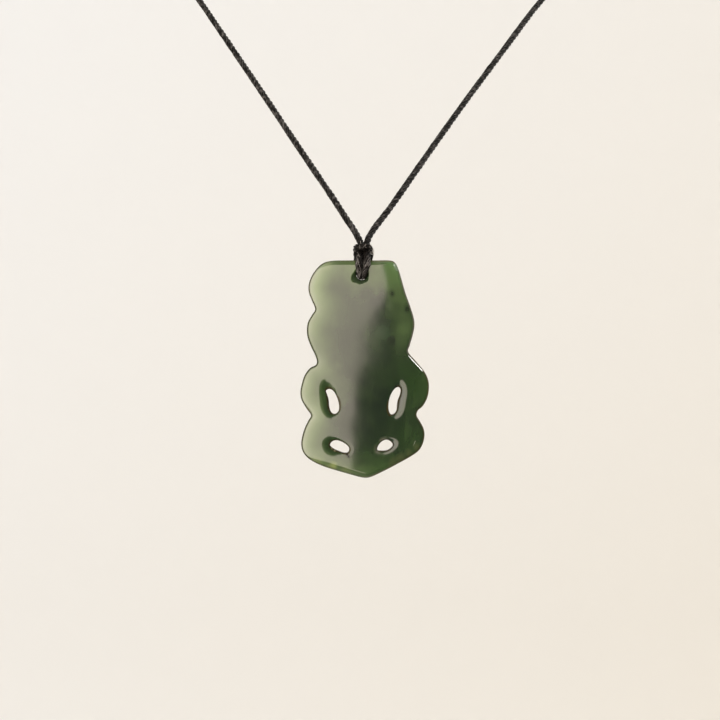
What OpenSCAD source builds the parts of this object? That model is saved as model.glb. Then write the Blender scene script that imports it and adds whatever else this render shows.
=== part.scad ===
// Hei tiki pendant: a flat greenstone figure tied by a cow hitch to a twisted neck cord.
// Millimetres. +Z is up, and the front of the stone looks towards -Y.
// The origin is the middle of the cord where it rests on the nape of the neck.

/* [Stone] */
// Height of the stone, from its tip to its top edge
stone_h = 50; // [46:0.5:56]
// Thickness of the stone at its rim, before the bevels
rim_t = 4.2; // [3.8:0.1:4.6]
// How far the front face swells past the rim
front_swell = 0.4; // [0.1:0.1:0.8]
// How far the back face swells past the rim
back_swell = 0.2; // [0.1:0.1:0.6]
// Width of the bevel round the back face
back_bevel = 0.6; // [0.3:0.1:0.9]
// Width of the widest bevel round the front face
front_bevel = 1.2; // [0.8:0.1:1.4]

/* [Pierced holes] */
// Depth of the shallow facet round a pierced hole, below the rim's front face
facet_depth = 0.7; // [0.4:0.1:1]
// How much wider a pierced hole is at the back face than at its narrowest place
back_flare = 0.35; // [0.1:0.05:0.6]

/* [Suspension hole] */
// Diameter of the drilled hole that the cord goes through
bore_d = 2.45; // [2.4:0.05:2.6]
// Distance of the drilled hole below the top edge
bore_drop = 3.25; // [3.2:0.05:3.35]
// Distance of the drilled hole to the left of the middle
bore_left = 0.4; // [0.35:0.05:0.45]
// Diameter of the countersink at the front face
sink_d = 4.1; // [3.9:0.1:4.4]

/* [Cord] */
// Diameter of the cord
cord_d = 1.35; // [1.2:0.05:1.45]
// Distance from the nape back to front, to the middle of the stone
hang_y = 150; // [150:1:150]
// Distance from the nape down to the top edge of the stone
hang_z = 121; // [121:1:121]

/* [Nape tie] */
// Distance of each sliding knot from the middle of the nape, along the cord
tie_reach = 13; // [11:0.5:15]
// Length of one sliding knot
tie_knot_l = 7; // [6:0.5:8]
// Outer diameter of a sliding knot
tie_knot_d = 5; // [4.8:0.1:5.4]
// Length of each cut end past its knot
tie_tail = 4; // [2:0.5:6]

/* [Hidden] */

drawn_h = 50;
grow = stone_h / drawn_h;
half_t = rim_t / 2;
smooth = 96;
// Depth of a bevel for each mm of its width
bevel_slope = 0.8;
// How far cutters reach past the faces
past = 0.6;
// Share of its drawn thickness that a strand of the hitch keeps, which holds the strands apart
strand_share = 0.9;
// Room between the doubled cords of the tie, and round a cord inside a knot
tie_room = 0.15;
knot_room = 0.25;

// Outline of the stone from the front, clockwise from the left end of the top edge:
// right of the middle, above the tip, share of the widest front bevel.
OUTLINE = [
    [-4.0, 50.0, 0.85], [2.5, 50.0, 0.85], [5.9, 50.0, 0.75], [7.2, 49.5, 0.6], [8.0, 48.0, 0.45],
    [8.6, 46.1, 0.4], [9.6, 42.6, 0.4], [10.8, 39.2, 0.4], [11.5, 36.9, 0.4], [11.7, 35.0, 0.4],
    [11.3, 32.8, 0.4], [10.6, 30.4, 0.4], [10.3, 28.9, 0.4], [12.1, 26.7, 0.45], [14.0, 24.4, 0.45],
    [14.9, 22.3, 0.35], [15.0, 20.3, 0.35], [14.6, 18.3, 0.35], [13.6, 16.5, 0.35], [12.5, 15.5, 0.3],
    [12.2, 14.3, 0.3], [13.0, 12.9, 0.35], [13.8, 11.3, 0.35], [14.0, 9.7, 0.4], [13.6, 7.8, 0.45],
    [12.6, 6.2, 0.5], [10.8, 4.9, 0.5], [8.5, 3.6, 0.5], [6.3, 2.4, 0.55], [4.1, 1.3, 0.6],
    [2.2, 0.4, 0.7], [0.7, 0.0, 0.8], [-0.9, 0.2, 0.9], [-3.1, 0.8, 0.95], [-5.9, 1.6, 1.0],
    [-8.8, 2.5, 1.0], [-11.1, 3.5, 0.7], [-12.8, 4.6, 0.35], [-13.9, 6.0, 0.35], [-14.3, 7.6, 0.35],
    [-14.1, 9.4, 0.35], [-13.5, 11.4, 0.35], [-12.7, 13.1, 0.35], [-12.1, 14.4, 0.45],
    [-13.2, 16.1, 0.45], [-14.2, 17.9, 0.3], [-14.5, 19.6, 0.35], [-14.2, 21.5, 0.35],
    [-13.5, 23.6, 0.35], [-12.3, 25.2, 0.35], [-11.0, 25.9, 0.35], [-10.7, 26.8, 0.35],
    [-11.1, 28.2, 0.35], [-12.0, 30.1, 0.35], [-12.8, 32.2, 0.35], [-13.0, 34.1, 0.35],
    [-12.7, 35.9, 0.35], [-11.8, 37.5, 0.35], [-11.1, 38.8, 0.35], [-11.8, 40.7, 0.35],
    [-12.5, 42.5, 0.35], [-12.6, 44.3, 0.3], [-12.0, 46.2, 0.35], [-10.9, 47.9, 0.55],
    [-9.4, 49.3, 0.75], [-7.4, 49.9, 0.85]
];
// The faces swell towards this upright line.
SPINE = [0.4, 10, 41];
// Share of the way in to the spine at each step of a face, and of the swell there
FACE_STEPS = [[0.12, 0.3], [0.35, 0.65], [0.7, 1]];

// Pierced holes: right of the middle and above the tip, at the front face and at the throat
ARM_LEFT = [
    [-8.8, 22.5, -8.0, 20.5], [-6.9, 21.5, -7.2, 20.1], [-6.0, 19.2, -6.4, 18.5],
    [-5.4, 17.0, -5.8, 17.1], [-5.5, 15.3, -5.7, 15.8], [-6.2, 14.2, -6.1, 15.0],
    [-7.3, 13.7, -6.8, 14.7], [-8.5, 14.4, -7.5, 15.2], [-9.6, 16.0, -7.9, 16.4],
    [-10.0, 17.9, -8.1, 17.8], [-10.1, 20.2, -8.4, 19.1], [-9.8, 21.8, -8.6, 20.1]
];
ARM_RIGHT = [
    [8.6, 22.5, 7.9, 20.9], [9.6, 21.6, 8.5, 20.4], [10.0, 19.7, 8.4, 19.2],
    [9.7, 17.6, 7.9, 17.9], [9.3, 15.6, 7.7, 16.7], [8.5, 14.1, 7.6, 15.6],
    [7.5, 13.5, 7.1, 14.8], [6.3, 14.2, 6.3, 14.6], [5.5, 15.8, 5.8, 15.6],
    [5.6, 17.9, 5.8, 17.3], [6.3, 20.0, 6.2, 18.9], [7.5, 21.5, 7.0, 20.3]
];
LEG_LEFT = [
    [-9.4, 7.5, -7.7, 7.5], [-8.9, 8.8, -7.4, 8.2], [-7.6, 9.5, -6.7, 8.6],
    [-6.1, 9.4, -5.8, 8.6], [-4.3, 8.8, -4.8, 8.2], [-3.0, 7.9, -3.9, 7.6],
    [-2.5, 6.7, -3.3, 6.8], [-3.0, 5.5, -3.6, 5.9], [-4.4, 5.1, -4.5, 5.8],
    [-6.1, 5.0, -5.5, 6.1], [-7.7, 5.6, -6.5, 6.5], [-8.9, 6.5, -7.3, 7.0]
];
LEG_RIGHT = [
    [2.1, 6.4, 3.0, 6.4], [2.4, 7.4, 3.2, 7.1], [3.3, 8.7, 3.8, 8.0],
    [4.7, 9.4, 4.6, 8.6], [6.2, 9.4, 5.5, 8.8], [7.5, 8.9, 6.3, 8.4],
    [8.0, 8.0, 6.8, 7.7], [7.5, 6.8, 6.6, 7.0], [6.3, 5.9, 5.8, 6.4],
    [5.0, 5.3, 4.9, 6.1], [3.6, 5.3, 3.9, 6.1], [2.5, 5.7, 3.2, 6.1]
];

// One half of the cow hitch, from the end of the neck cord down the front of the stone,
// back through the drilled hole, up the back and round to the front of the knot:
// out from the hitch's middle line, back from the middle of the stone,
// above the stone's top edge, share of the cord's diameter.
HITCH = [
    [0.77, 0.62, 4.30, 1.11], [0.70, 0.16, 3.94, 0.98], [0.64, -0.32, 3.25, 0.92],
    [0.62, -0.90, 2.30, 0.94], [0.64, -1.72, 1.20, 1.00], [0.74, -2.52, 0.10, 1.00],
    [0.92, -3.05, -1.10, 1.00], [0.88, -3.02, -2.30, 0.96], [0.70, -2.60, -3.30, 0.86],
    [0.54, -1.95, -3.72, 0.80], [0.55, -0.90, -3.44, 0.80], [0.56, 0.00, -3.34, 0.80],
    [0.57, 1.30, -3.50, 0.80], [0.74, 2.30, -3.10, 0.86], [0.97, 2.98, -2.20, 0.96],
    [1.22, 3.10, -1.10, 1.00], [1.45, 2.80, 0.10, 1.00], [1.66, 1.75, 1.20, 0.94],
    [1.80, 0.70, 2.10, 0.90], [1.88, -0.30, 2.75, 0.90], [1.70, -1.35, 3.04, 0.92],
    [0.95, -2.02, 3.10, 1.00]
];
HITCH_FRONT = [0, -2.16, 3.10, 1.06];
// The hitch's middle line leans: its place at the top edge, and how far it moves per mm of height
HITCH_LEAN = [-0.22, 0.05];

// Tilt of the loop from the upright, and the radius of its round at the nape
LOOP_TILT = 52;
LOOP_R = 52;
// Route of the neck cord in the tilted plane of the loop, from the left of the hitch round the nape
// to the right of the hitch: right of the middle, and down the slope from the nape
ROUTE = [
    [-0.8, 189.4], [-1.4, 187.2], [-2.5, 184], [-4.1, 180], [-7.9, 170], [-15.8, 150], [-23.6, 130],
    [-31.5, 110], [-39.4, 90], [-47, 70.6], [-50.5, 56.4], [-49.5, 39.7], [-43.1, 24], [-31.9, 11.2],
    [-19.5, 3.8], [-9.9, 1], [0, 0], [9.9, 1], [19.5, 3.7], [32.3, 10.7], [44.4, 23.1], [52, 39],
    [54, 56.7], [49.8, 74.2], [42.7, 90], [34, 110], [25.3, 130], [16.9, 150], [8.7, 170], [6.2, 176],
    [4.4, 180], [2.6, 184], [1.4, 187.2], [0.9, 189.4]
];
function on_slope(p) = [p[0], -p[1] * sin(LOOP_TILT), -p[1] * cos(LOOP_TILT)];

function unit(v) = v / norm(v);

// A point of the smooth curve through four points, between the second and the third
function curve_point(a, b, c, d, t) =
    0.5 * (2 * b + (c - a) * t + (2 * a - 5 * b + 4 * c - d) * t * t + (3 * b - a - 3 * c + d) * t * t * t);

function closed_curve(p, steps) = let (n = len(p)) [
    for (i = [0:n - 1], k = [0:steps - 1])
        curve_point(p[(i + n - 1) % n], p[i], p[(i + 1) % n], p[(i + 2) % n], k / steps)
];

function open_curve(p, steps) = let (n = len(p)) [
    for (i = [0:n - 2], k = [0:steps - 1])
        curve_point(p[max(i - 1, 0)], p[i], p[i + 1], p[min(i + 2, n - 1)], k / steps),
    p[n - 1]
];

function total(list) = [for (v = list) 1] * list;

// Skin of a solid whose rings of equal length are stacked, with a flat cap on each end
module stacked_rings(rings) {
    n = len(rings[0]);
    m = len(rings);
    polyhedron(
        points = [for (r = rings) each r],
        faces = concat(
            [[for (i = [0:n - 1]) i]],
            [for (k = [0:m - 2], i = [0:n - 1]) [k * n + i, (k + 1) * n + i, k * n + (i + 1) % n]],
            [for (k = [0:m - 2], i = [0:n - 1])
                [k * n + (i + 1) % n, (k + 1) * n + i, (k + 1) * n + (i + 1) % n]],
            [[for (i = [n - 1:-1:0]) (m - 1) * n + i]]
        )
    );
}

// Direction of a path at one of its points
function along(p, i) = unit(p[min(i + 1, len(p) - 1)] - p[max(i - 1, 0)]);
function square_to(v, t) = unit(v - (v * t) * t);

// A round tube through the points of a path, with a radius for each
module tube(path, radii, sides) {
    last = len(path) - 1;
    sideways = [
        for (i = 0, v = square_to([0.1, 0.2, 1], along(path, 0)); i <= last;
            i = i + 1, v = square_to(v, along(path, min(i, last)))) v
    ];
    stacked_rings([
        for (i = [0:last])
            let (u = sideways[i], w = cross(along(path, i), u))
                [for (k = [0:sides - 1])
                    path[i] + radii[i] * (cos(k * 360 / sides) * u + sin(k * 360 / sides) * w)]
    ]);
}

// The stone's outline at full width, and moved in by the front or the back bevel
outer = closed_curve([for (p = OUTLINE) [p[0] * grow, p[1] * grow, p[2] * front_bevel]], 2);
function inward(i) = let (n = len(outer), a = outer[(i + n - 1) % n], b = outer[(i + 1) % n])
    unit([b[1] - a[1], a[0] - b[0]]);
function moved_in(width) = [
    for (i = [0:len(outer) - 1])
        [outer[i][0], outer[i][1]] + inward(i) * (width > 0 ? width : outer[i][2])
];
function towards_spine(p, share) = let (s = [SPINE[0], min(max(p[1], SPINE[1]), SPINE[2])])
    p + (s - p) * share;
function ring_at(points, y) = [for (p = points) [p[0], y, p[1]]];

// The uncut stone: bevelled rims and swelling faces
module stone_blank() {
    front_rim = moved_in(0);
    back_rim = moved_in(back_bevel);
    steps = len(FACE_STEPS) - 1;
    stacked_rings(concat(
        [for (k = [steps:-1:0])
            ring_at([for (p = front_rim) towards_spine(p, FACE_STEPS[k][0])],
                -half_t - front_swell * FACE_STEPS[k][1])],
        [ring_at(front_rim, -half_t)],
        [[for (p = outer) [p[0], -half_t + bevel_slope * p[2], p[1]]]],
        [[for (p = outer) [p[0], half_t - bevel_slope * back_bevel, p[1]]]],
        [ring_at(back_rim, half_t)],
        [for (k = [0:steps])
            ring_at([for (p = back_rim) towards_spine(p, FACE_STEPS[k][0])],
                half_t + back_swell * FACE_STEPS[k][1])]
    ));
}

// One pierced hole: a shallow facet runs down to the throat, then the wall goes straight back
module pierced_hole(table) {
    rows = closed_curve(grow * table, 2);
    front = [for (r = rows) [r[0], r[1]]];
    throat = [for (r = rows) [r[2], r[3]]];
    middle = total(throat) / len(throat);
    past_front = (front_swell + past) / facet_depth;
    beyond = [for (p = throat) p + unit(p - middle) * 2 * back_flare];
    stacked_rings([
        ring_at([for (i = [0:len(front) - 1]) front[i] + (front[i] - throat[i]) * past_front],
            -half_t - front_swell - past),
        ring_at(throat, -half_t + facet_depth),
        ring_at(throat, half_t - back_flare),
        ring_at(beyond, half_t + back_flare)
    ]);
}

// The drilled hole with its countersinks
module drilled_hole() {
    depth = half_t + front_swell + past;
    sink_depth = depth - half_t + (sink_d - bore_d) / 2;
    wide = bore_d + 2 * sink_depth;
    translate([-bore_left, 0, stone_h - bore_drop]) rotate([90, 0, 0]) {
        cylinder(d = bore_d, h = 2 * depth, center = true, $fn = smooth);
        for (side = [0, 1]) mirror([0, 0, side]) translate([0, 0, depth - sink_depth])
            cylinder(d1 = bore_d, d2 = wide, h = sink_depth, $fn = smooth);
    }
}

module at_top_edge() {
    translate([0, -hang_y, -hang_z]) children();
}

module tiki_body() {
    color("#5d7a4a") at_top_edge() translate([0, 0, -stone_h]) difference() {
        stone_blank();
        pierced_hole(ARM_LEFT);
        pierced_hole(ARM_RIGHT);
        pierced_hole(LEG_LEFT);
        pierced_hole(LEG_RIGHT);
        drilled_hole();
    }
}

function hitch_point(row, side) =
    [HITCH_LEAN[0] + HITCH_LEAN[1] * row[2] + side * row[0], row[1], row[2], row[3]];

module cord_hitch() {
    n = len(HITCH);
    rows = open_curve(concat(
        [for (k = [0:n - 1]) hitch_point(HITCH[k], -1)],
        [hitch_point(HITCH_FRONT, 0)],
        [for (k = [n - 1:-1:0]) hitch_point(HITCH[k], 1)]
    ), 2);
    color("#232020") at_top_edge()
        tube([for (r = rows) [r[0], r[1], r[2]]], [for (r = rows) r[3] * strand_share * cord_d / 2], 8);
}

module neck_cord() {
    path = open_curve([for (p = ROUTE) on_slope(p)], 2);
    color("#232020") tube(path, [for (p = path) cord_d / 2], 8);
}

// One sliding knot of five turns round the cord and its doubled end
module sliding_knot() {
    turns = 5;
    pitch = tie_knot_l / turns;
    core = tie_knot_d / 2 - pitch / 2;
    rotate_extrude($fn = smooth / 2) polygon(concat(
        [[0, -tie_knot_l / 2]],
        [for (k = [0:turns - 1], a = [-80:40:80])
            [core + pitch / 2 * cos(a), (k + 0.5) * pitch - tie_knot_l / 2 + pitch / 2 * sin(a)]],
        [[0, tie_knot_l / 2]]
    ));
}

module nape_tie() {
    turn = tie_reach / LOOP_R * 180 / PI;
    beside = cord_d + tie_room;
    reach = tie_reach + tie_knot_l / 2 + tie_tail;
    swing = reach / LOOP_R * 180 / PI;
    color("#2b2727") rotate([90 - LOOP_TILT, 0, 0]) translate([0, -LOOP_R, 0]) difference() {
        union() {
            translate([0, 0, -beside]) rotate([0, 0, 90 - swing])
                rotate_extrude(angle = 2 * swing, $fn = 2 * smooth)
                    translate([LOOP_R, 0]) circle(d = cord_d, $fn = smooth / 4);
            for (side = [-1, 1]) rotate([0, 0, -side * turn])
                translate([0, LOOP_R, -beside / 2]) rotate([0, 90, 0]) sliding_knot();
        }
        for (side = [-1, 1]) rotate([0, 0, -side * turn])
            translate([0, LOOP_R, 0]) rotate([0, 90, 0])
                cylinder(d = cord_d + 2 * knot_room, h = tie_knot_l + 1, center = true, $fn = smooth / 2);
    }
}

tiki_body();
cord_hitch();
neck_cord();
nape_tie();
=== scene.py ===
import math
import random

import bmesh
import bpy
import numpy as np
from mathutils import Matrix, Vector, geometry


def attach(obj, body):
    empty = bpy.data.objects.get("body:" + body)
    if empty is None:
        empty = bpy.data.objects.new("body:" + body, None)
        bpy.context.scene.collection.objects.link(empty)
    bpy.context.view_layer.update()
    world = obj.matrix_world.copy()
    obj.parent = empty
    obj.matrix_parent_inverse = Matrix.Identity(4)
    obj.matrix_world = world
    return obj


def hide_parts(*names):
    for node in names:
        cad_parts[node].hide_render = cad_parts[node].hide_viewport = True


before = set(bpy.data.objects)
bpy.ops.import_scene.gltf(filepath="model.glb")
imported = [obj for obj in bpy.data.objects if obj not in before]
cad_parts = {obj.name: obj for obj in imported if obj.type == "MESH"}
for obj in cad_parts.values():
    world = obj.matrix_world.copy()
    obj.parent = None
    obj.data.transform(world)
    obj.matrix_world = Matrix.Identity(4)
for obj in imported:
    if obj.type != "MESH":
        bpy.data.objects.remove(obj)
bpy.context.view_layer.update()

# Lengths are in millimetres, and meshes and materials turn them into metres
MM = 0.001
HANG = np.array([0.0, -150.0, -121.0])  # middle of the stone's top edge
TIP_Z = -171.0  # tip of the stone
CORD_R = 0.675

# Camera
MM_PER_PIXEL = 0.2304  # at the stone, which is 50 mm tall
PICTURE_PIXELS = 720
CAMERA_AWAY = 700.0
CAMERA_AIM = (-0.81, 27.1)  # right of the stone's middle, above its tip
SENSOR_WIDTH = 36.0

camera_data = bpy.data.cameras.new("camera")
camera = bpy.data.objects.new("camera", camera_data)
bpy.context.scene.collection.objects.link(camera)
camera_data.sensor_width = SENSOR_WIDTH
camera_data.lens = SENSOR_WIDTH * CAMERA_AWAY / (PICTURE_PIXELS * MM_PER_PIXEL)
camera_data.clip_start = 0.01
camera_data.clip_end = 50.0
camera.location = (CAMERA_AIM[0] * MM, (HANG[1] - CAMERA_AWAY) * MM, (TIP_Z + CAMERA_AIM[1]) * MM)
camera.rotation_euler = (math.radians(90), 0, 0)
bpy.context.scene.camera = camera


# Curves
def curve_point(before, start, end, after, share):
    """A point between start and end on the smooth curve through four points."""
    slope = (end - before) * share
    bend = (2 * before - 5 * start + 4 * end - after) * share * share
    turn = (3 * start - before - 3 * end + after) * share ** 3
    return 0.5 * (2 * start + slope + bend + turn)


def closed_curve(points, steps):
    p = np.array(points, float)
    n = len(p)
    return np.array([
        curve_point(p[i - 1], p[i], p[(i + 1) % n], p[(i + 2) % n], k / steps)
        for i in range(n) for k in range(steps)
    ])


def open_curve(points, steps):
    p = np.array(points, float)
    n = len(p)
    rows = [
        curve_point(p[max(i - 1, 0)], p[i], p[i + 1], p[min(i + 2, n - 1)], k / steps)
        for i in range(n - 1) for k in range(steps)
    ]
    return np.array(rows + [p[-1]])


def lengths(path):
    """How far along a path each of its points lies."""
    return np.r_[0, np.cumsum(np.linalg.norm(np.diff(path[:, :3], axis=0), axis=1))]


def evenly(path, step):
    """The same path with a point every step or so. Columns past the third go along."""
    at = lengths(path)
    count = max(2, int(round(at[-1] / step)) + 1)
    where = np.linspace(0, at[-1], count)
    return np.stack([np.interp(where, at, path[:, k]) for k in range(path.shape[1])], 1)


def unit(v):
    return v / np.maximum(np.linalg.norm(v, axis=-1, keepdims=True), 1e-12)


def ramp(value, zero, one):
    """0 up to one value, 1 past the other and even in between, in either direction."""
    return np.clip((value - zero) / (one - zero), 0, 1)


def softened(rows, times):
    """Rows of a closed ring, each drawn towards its two neighbours."""
    for _ in range(times):
        rows = (np.roll(rows, 1, axis=0) + 2 * rows + np.roll(rows, -1, axis=0)) / 4
    return rows


# Meshes
def mesh_object(name, verts, faces, uv=None):
    """A smoothly shaded object. uv holds cord coordinates, for the cords only."""
    mesh = bpy.data.meshes.new(name)
    mesh.from_pydata([tuple(v) for v in np.asarray(verts) * MM], [], faces)
    mesh.update()
    mesh.polygons.foreach_set("use_smooth", [True] * len(mesh.polygons))
    if uv is not None:
        layer = mesh.uv_layers.new(name="UVMap")
        corners = np.zeros(len(mesh.loops), int)
        mesh.loops.foreach_get("vertex_index", corners)
        layer.data.foreach_set("uv", np.asarray(uv, float)[corners].ravel())
    obj = bpy.data.objects.new(name, mesh)
    bpy.context.scene.collection.objects.link(obj)
    return obj


def places(obj):
    """The places of an object's vertices, in millimetres."""
    flat = np.zeros(len(obj.data.vertices) * 3)
    obj.data.vertices.foreach_get("co", flat)
    return flat.reshape(-1, 3) / MM


def store(obj, name, values):
    """Keeps one value for each vertex, for the material to read."""
    attribute = obj.data.attributes.new(name, "FLOAT", "POINT")
    attribute.data.foreach_set("value", np.asarray(values, np.float32))


def bands(base, rings, sides):
    """Faces between rings of vertices that follow one another."""
    return [
        (here + s, here + sides + s, here + sides + (s + 1) % sides, here + (s + 1) % sides)
        for here in range(base, base + (rings - 1) * sides, sides) for s in range(sides)
    ]


def joined(parts):
    """Vertices, faces and cord coordinates of several lengths of cord as one mesh."""
    verts, faces, uv = [], [], []
    for part_verts, part_faces, part_uv in parts:
        base = len(verts)
        verts += list(part_verts)
        faces += [[i + base for i in face] for face in part_faces]
        uv += list(part_uv)
    return verts, faces, uv


# Cord route
LOOP_TILT = math.radians(52)
LOOP_R = 52.0  # of the loop where it lies on the nape
CURVE_STEPS = 12
PLY_SHARE = 1.16  # the plies stand a little past the cord's radius
# in the tilted plane of the loop: right of the middle, and down the slope from the nape
ROUTE = [
    [-0.8, 189.4], [-1.4, 187.2], [-2.5, 184], [-4.1, 180], [-7.9, 170], [-15.8, 150], [-23.6, 130],
    [-31.5, 110], [-39.4, 90], [-47, 70.6], [-50.5, 56.4], [-49.5, 39.7], [-43.1, 24], [-31.9, 11.2],
    [-19.5, 3.8], [-9.9, 1], [0, 0], [9.9, 1], [19.5, 3.7], [32.3, 10.7], [44.4, 23.1], [52, 39],
    [54, 56.7], [49.8, 74.2], [42.7, 90], [34, 110], [25.3, 130], [16.9, 150], [8.7, 170], [6.2, 176],
    [4.4, 180], [2.6, 184], [1.4, 187.2], [0.9, 189.4],
]
# the knot: out to each side, back, up from the top edge, share of the radius, which is larger where
# the soft strands are pressed together
HITCH = [
    [0.77, 0.62, 4.3, 1.16], [0.71, 0.16, 3.94, 1.14], [0.7, -0.32, 3.25, 1.1],
    [0.74, -0.9, 2.3, 1.08], [0.84, -1.72, 1.2, 1.18], [0.92, -2.52, 0.1, 1.26],
    [0.92, -3.05, -1.1, 1.24], [0.8, -3.02, -2.3, 1.1], [0.66, -2.6, -3.3, 0.98],
    [0.53, -1.95, -3.78, 0.92], [0.53, -0.9, -3.55, 0.92], [0.54, 0.0, -3.4, 0.92],
    [0.56, 1.3, -3.5, 0.92], [0.74, 2.3, -3.1, 0.96], [0.97, 2.98, -2.2, 1.0],
    [1.22, 3.1, -1.1, 1.05], [1.42, 2.8, 0.1, 1.08], [1.58, 1.75, 1.2, 1.08],
    [1.7, 0.7, 2.1, 1.05], [1.76, -0.3, 2.75, 1.05], [1.62, -1.35, 3.04, 1.1],
    [0.9, -2.02, 3.1, 1.18],
]
HITCH_FRONT = [0, -2.16, 3.08, 1.22]  # the middle of the cross-bar in front
HITCH_LEAN = [-0.1, 0.05]  # the knot's shift to the right, and the more of it higher up
# fibres bunched between the legs of the knot, from behind its bar through the hole and up the back
HITCH_CORE = [
    [0.1, 0.3, 3.2, 1.0], [0.0, -0.5, 2.5, 1.1], [0.0, -1.15, 1.3, 1.1], [0.0, -2.0, 0.1, 0.95],
    [0.0, -2.62, -1.1, 0.85], [0.0, -2.55, -2.3, 0.8], [0.0, -2.1, -3.5, 0.85],
    [0.0, -1.2, -3.98, 0.92], [0.0, 0.0, -3.95, 0.92], [0.0, 1.6, -3.6, 0.92],
    [0.0, 2.3, -2.2, 0.9], [0.0, 2.2, -0.6, 1.1], [0.0, 1.2, 1.0, 1.3], [0.0, 0.6, 2.3, 1.3],
]
# on the right the strand outside BAR_OUT leans in above BAR_UP, and the leg sits in below LEG_UP
BAR_OUT = 1.3
BAR_UP = 1.6
BAR_LEAN = 0.3
LEG_UP = -2.0
LEG_SHIFT = 0.26


def hitch_point(row, side):
    """A row of the knot's tables on the right (1), on the left (-1) or in the middle (0)."""
    out, back, up, share = row
    if side > 0 and out > BAR_OUT:
        out -= BAR_LEAN * max(0.0, up - BAR_UP)
    if side > 0 and up < LEG_UP and back < 0:
        out -= LEG_SHIFT
    right = HITCH_LEAN[0] + HITCH_LEAN[1] * up + side * out
    return [*(HANG + [right, back, up]), share]


def hitch_rows():
    """From the right end of the hitch round to its left end."""
    right = [hitch_point(row, 1) for row in HITCH]
    left = [hitch_point(row, -1) for row in HITCH]
    return right + [hitch_point(HITCH_FRONT, 0)] + left[::-1]


def on_slope(right, down):
    return [right, -down * math.sin(LOOP_TILT), -down * math.cos(LOOP_TILT), PLY_SHARE]


neck_line = open_curve([on_slope(*row) for row in ROUTE], CURVE_STEPS)
hitch_line = open_curve(hitch_rows(), CURVE_STEPS)

# Twisted cord
PLIES = 5
PITCH = 8.5  # length of one full twist
PLY_OVERLAP = 1.05
LUMP_STEP = 2.2  # between two lumps along the cord
CORD_LUMPS = 0.05  # share by which the whole cord swells and thins
PLY_LUMPS = 0.09  # the same for one ply
PLY_SIDES = 8
CORE_SIDES = 6
CORE_SHARE = 0.75
NECK_STEP = 0.55
HITCH_STEP = 0.3


def framed(path):
    """Directions along a path, and two across it that don't turn about it."""
    along = unit(np.gradient(path[:, :3], axis=0))
    across = np.zeros_like(along)
    v = np.array([0.1, 0.2, 1.0])
    for i, t in enumerate(along):
        v = unit(v - (v @ t) * t)
        across[i] = v
    return along, across, np.cross(along, across)


def twist(path):
    return 2 * math.pi * lengths(path) / PITCH


def skin(base, rings, sides):
    """Faces of a tube between its rings of vertices, with both ends closed."""
    last = base + (rings - 1) * sides
    ends = [[base + s for s in range(sides)], [last + s for s in range(sides)][::-1]]
    return bands(base, rings, sides) + ends


def plies(path, turn, sides, radius, directions=None):
    """A cord of twisted plies along a path with a share of the radius in its fourth column.
    turn is the angle of the first ply at each point."""
    _, across, over = directions or framed(path)
    at = lengths(path)
    chance = random.Random(PLIES * len(path))
    lumps = np.arange(0, at[-1] + 3.0, LUMP_STEP)

    def uneven():
        return np.interp(at, lumps, [chance.uniform(-1, 1) for _ in lumps])

    thick = radius * path[:, 3] * (1 + CORD_LUMPS * uneven())
    ply_r = thick / (1 + 1 / math.sin(math.pi / PLIES)) * PLY_OVERLAP
    reach = thick - ply_r
    verts, faces, uv = [], [], []
    for ply in range(PLIES):
        full = ply_r * (1 + PLY_LUMPS * uneven())
        angle = turn + 2 * math.pi * ply / PLIES
        shift = (reach * np.cos(angle))[:, None] * across + (reach * np.sin(angle))[:, None] * over
        line = path[:, :3] + shift
        along = unit(np.gradient(line, axis=0))
        out = unit(line - path[:, :3])
        out = unit(out - np.sum(out * along, 1)[:, None] * along)
        side = np.cross(along, out)
        faces += skin(len(verts), len(line), sides)
        for i in range(len(line)):
            for s in range(sides):
                b = 2 * math.pi * s / sides
                verts.append(line[i] + full[i] * (math.cos(b) * out[i] + math.sin(b) * side[i]))
                uv.append((at[i], ply + s / sides))
    return verts, faces, uv


def tube(path, radius, sides, paleness):
    """A plain round fibre. Its cord coordinate across is its paleness, negative to mark a loose fibre."""
    _, across, over = framed(path)
    verts, uv = [], []
    for i, p in enumerate(path):
        for s in range(sides):
            b = 2 * math.pi * s / sides
            verts.append(p[:3] + radius * p[3] * (math.cos(b) * across[i] + math.sin(b) * over[i]))
            uv.append((i / len(path), -paleness))
    return verts, skin(0, len(path), sides), uv


# Loose fibres of the knot
FIBRES = 60
FIBRE_SEED = 7
FIBRE_R = 0.036
FIBRE_SIDES = 4
FIBRE_POINTS = 7
FIBRE_REACH = 0.72  # share of its reach at which a fibre stands off the cord
FRAYED_RIGHT = 1.1  # the frayed part of the knot is further right than this,
FRAYED_UP = (-0.2, 2.2)  # and between these heights
ELSEWHERE_SKIPPED = 0.985  # share of the fibres left out elsewhere


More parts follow.
